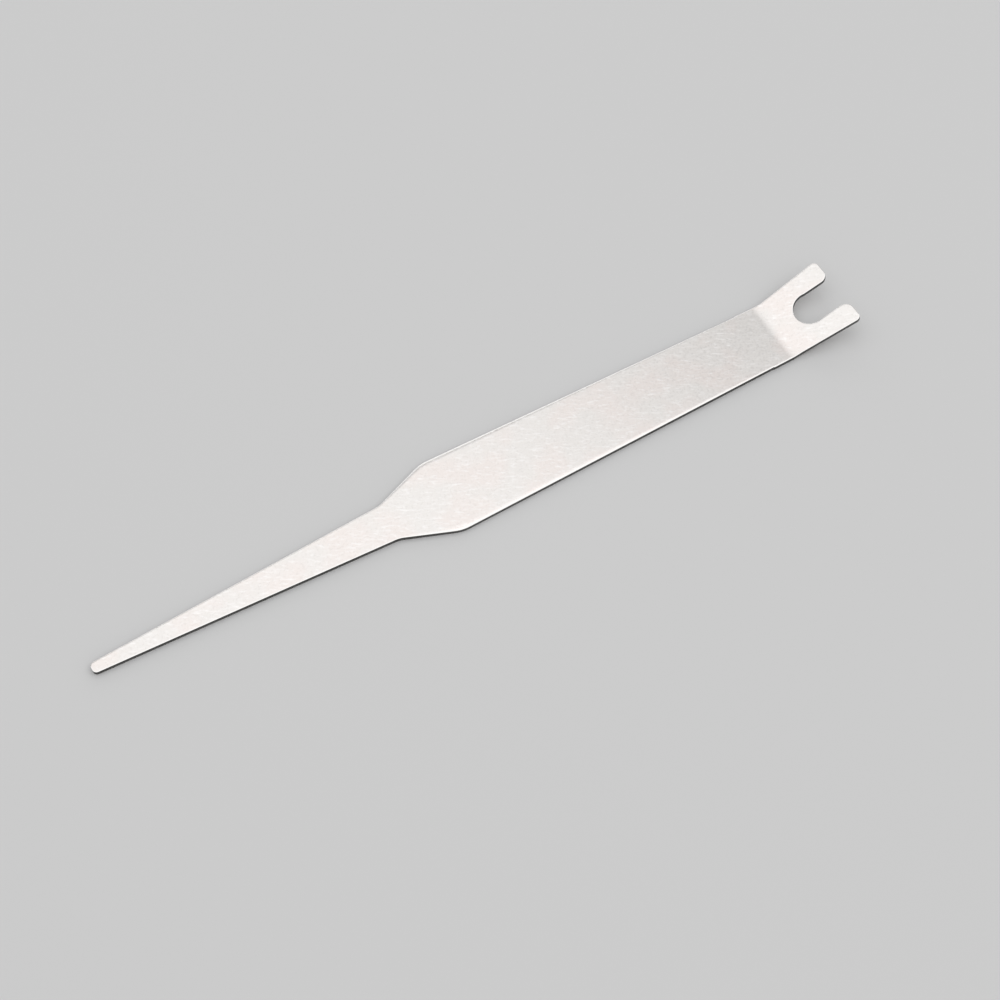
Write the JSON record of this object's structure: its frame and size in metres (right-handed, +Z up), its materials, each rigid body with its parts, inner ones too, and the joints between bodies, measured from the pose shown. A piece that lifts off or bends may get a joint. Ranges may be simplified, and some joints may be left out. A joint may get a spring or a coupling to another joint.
{
  "type": "x-clamp removal tool",
  "caption": "One-piece folded steel prying tool: a slim blunt nose, a flat tapering shank and a slotted fork bent up at its end.",
  "frame": {"origin": "middle of the footprint's length and width, on the underside that the tool lies on", "axes": "+X along the tool from the nose to the fork, +Z up out of the upper face, the way the fork is bent; Y across the sheet"},
  "size_m": [0.1466, 0.015, 0.005],
  "materials": {
    "steel": "satin, finely scuffed by tumbling"
  },
  "bodies": {
    "root": {"removal_tool": "steel"}
  },
  "joints": []
}
